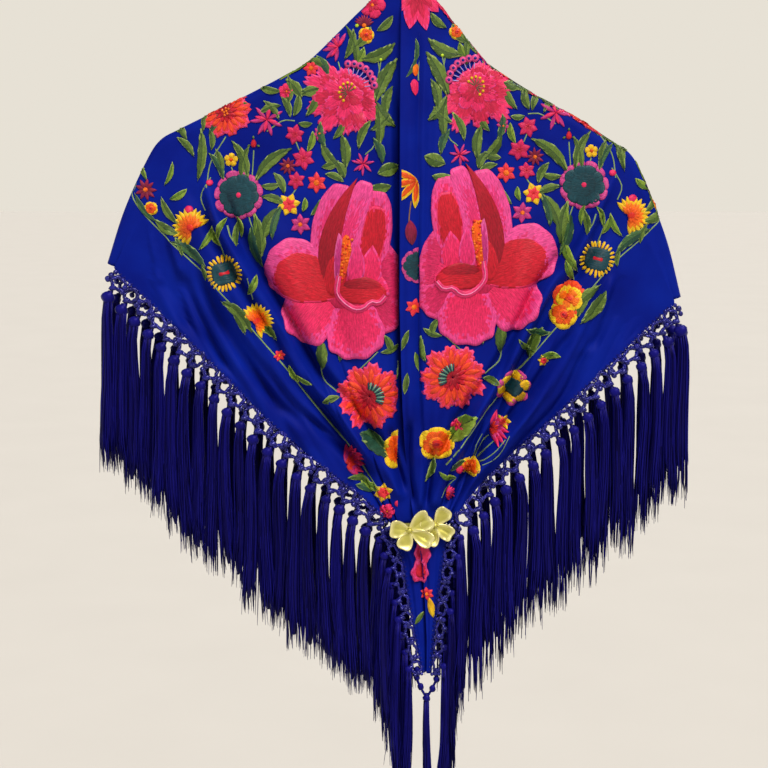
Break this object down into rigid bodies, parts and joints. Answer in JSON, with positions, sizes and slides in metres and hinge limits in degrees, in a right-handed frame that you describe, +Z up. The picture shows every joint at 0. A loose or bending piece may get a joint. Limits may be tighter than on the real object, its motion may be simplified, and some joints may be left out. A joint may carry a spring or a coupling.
{
  "type": "flamenco shawl on a clothes hanger",
  "caption": "Triangular fringed shawl folded over a clothes hanger, its fronts overlapped and clasped by a flower brooch above two hanging tails.",
  "frame": {"origin": "inside top of the hanger's hook, where it bears on a rail, at the middle of the wire", "axes": "+X to the viewer's right, +Y from the front of the shawl to its back, +Z up"},
  "size_m": [0.5825, 0.0723, 0.9934],
  "materials": {
    "crepe": "royal blue crepe, embroidered with flowers in coloured silk",
    "embroidery_silk": "untwisted silk floss in satin stitch, many colours, mostly pink and red",
    "silk_fringe": "dark blue twisted silk, soft sheen",
    "brooch_metal": "pale gold plating, satin",
    "hanger_wood": "clear lacquered beech",
    "hanger_steel": "bright zinc plated wire"
  },
  "bodies": {
    "root": {"back": "crepe", "front_left": "crepe", "front_right": "crepe", "tail_left": "crepe", "tail_right": "crepe", "fringe_front_left": "silk_fringe", "fringe_front_right": "silk_fringe", "fringe_back_left": "silk_fringe", "fringe_back_right": "silk_fringe", "fringe_tail_left": "silk_fringe", "fringe_tail_right": "silk_fringe", "tassel_tip": "silk_fringe", "brooch_bar": "brooch_metal", "brooch_flower_left": "brooch_metal", "brooch_flower_right": "brooch_metal", "hanger_arms": "hanger_wood", "hanger_hook": "hanger_steel"}
  },
  "joints": []
}
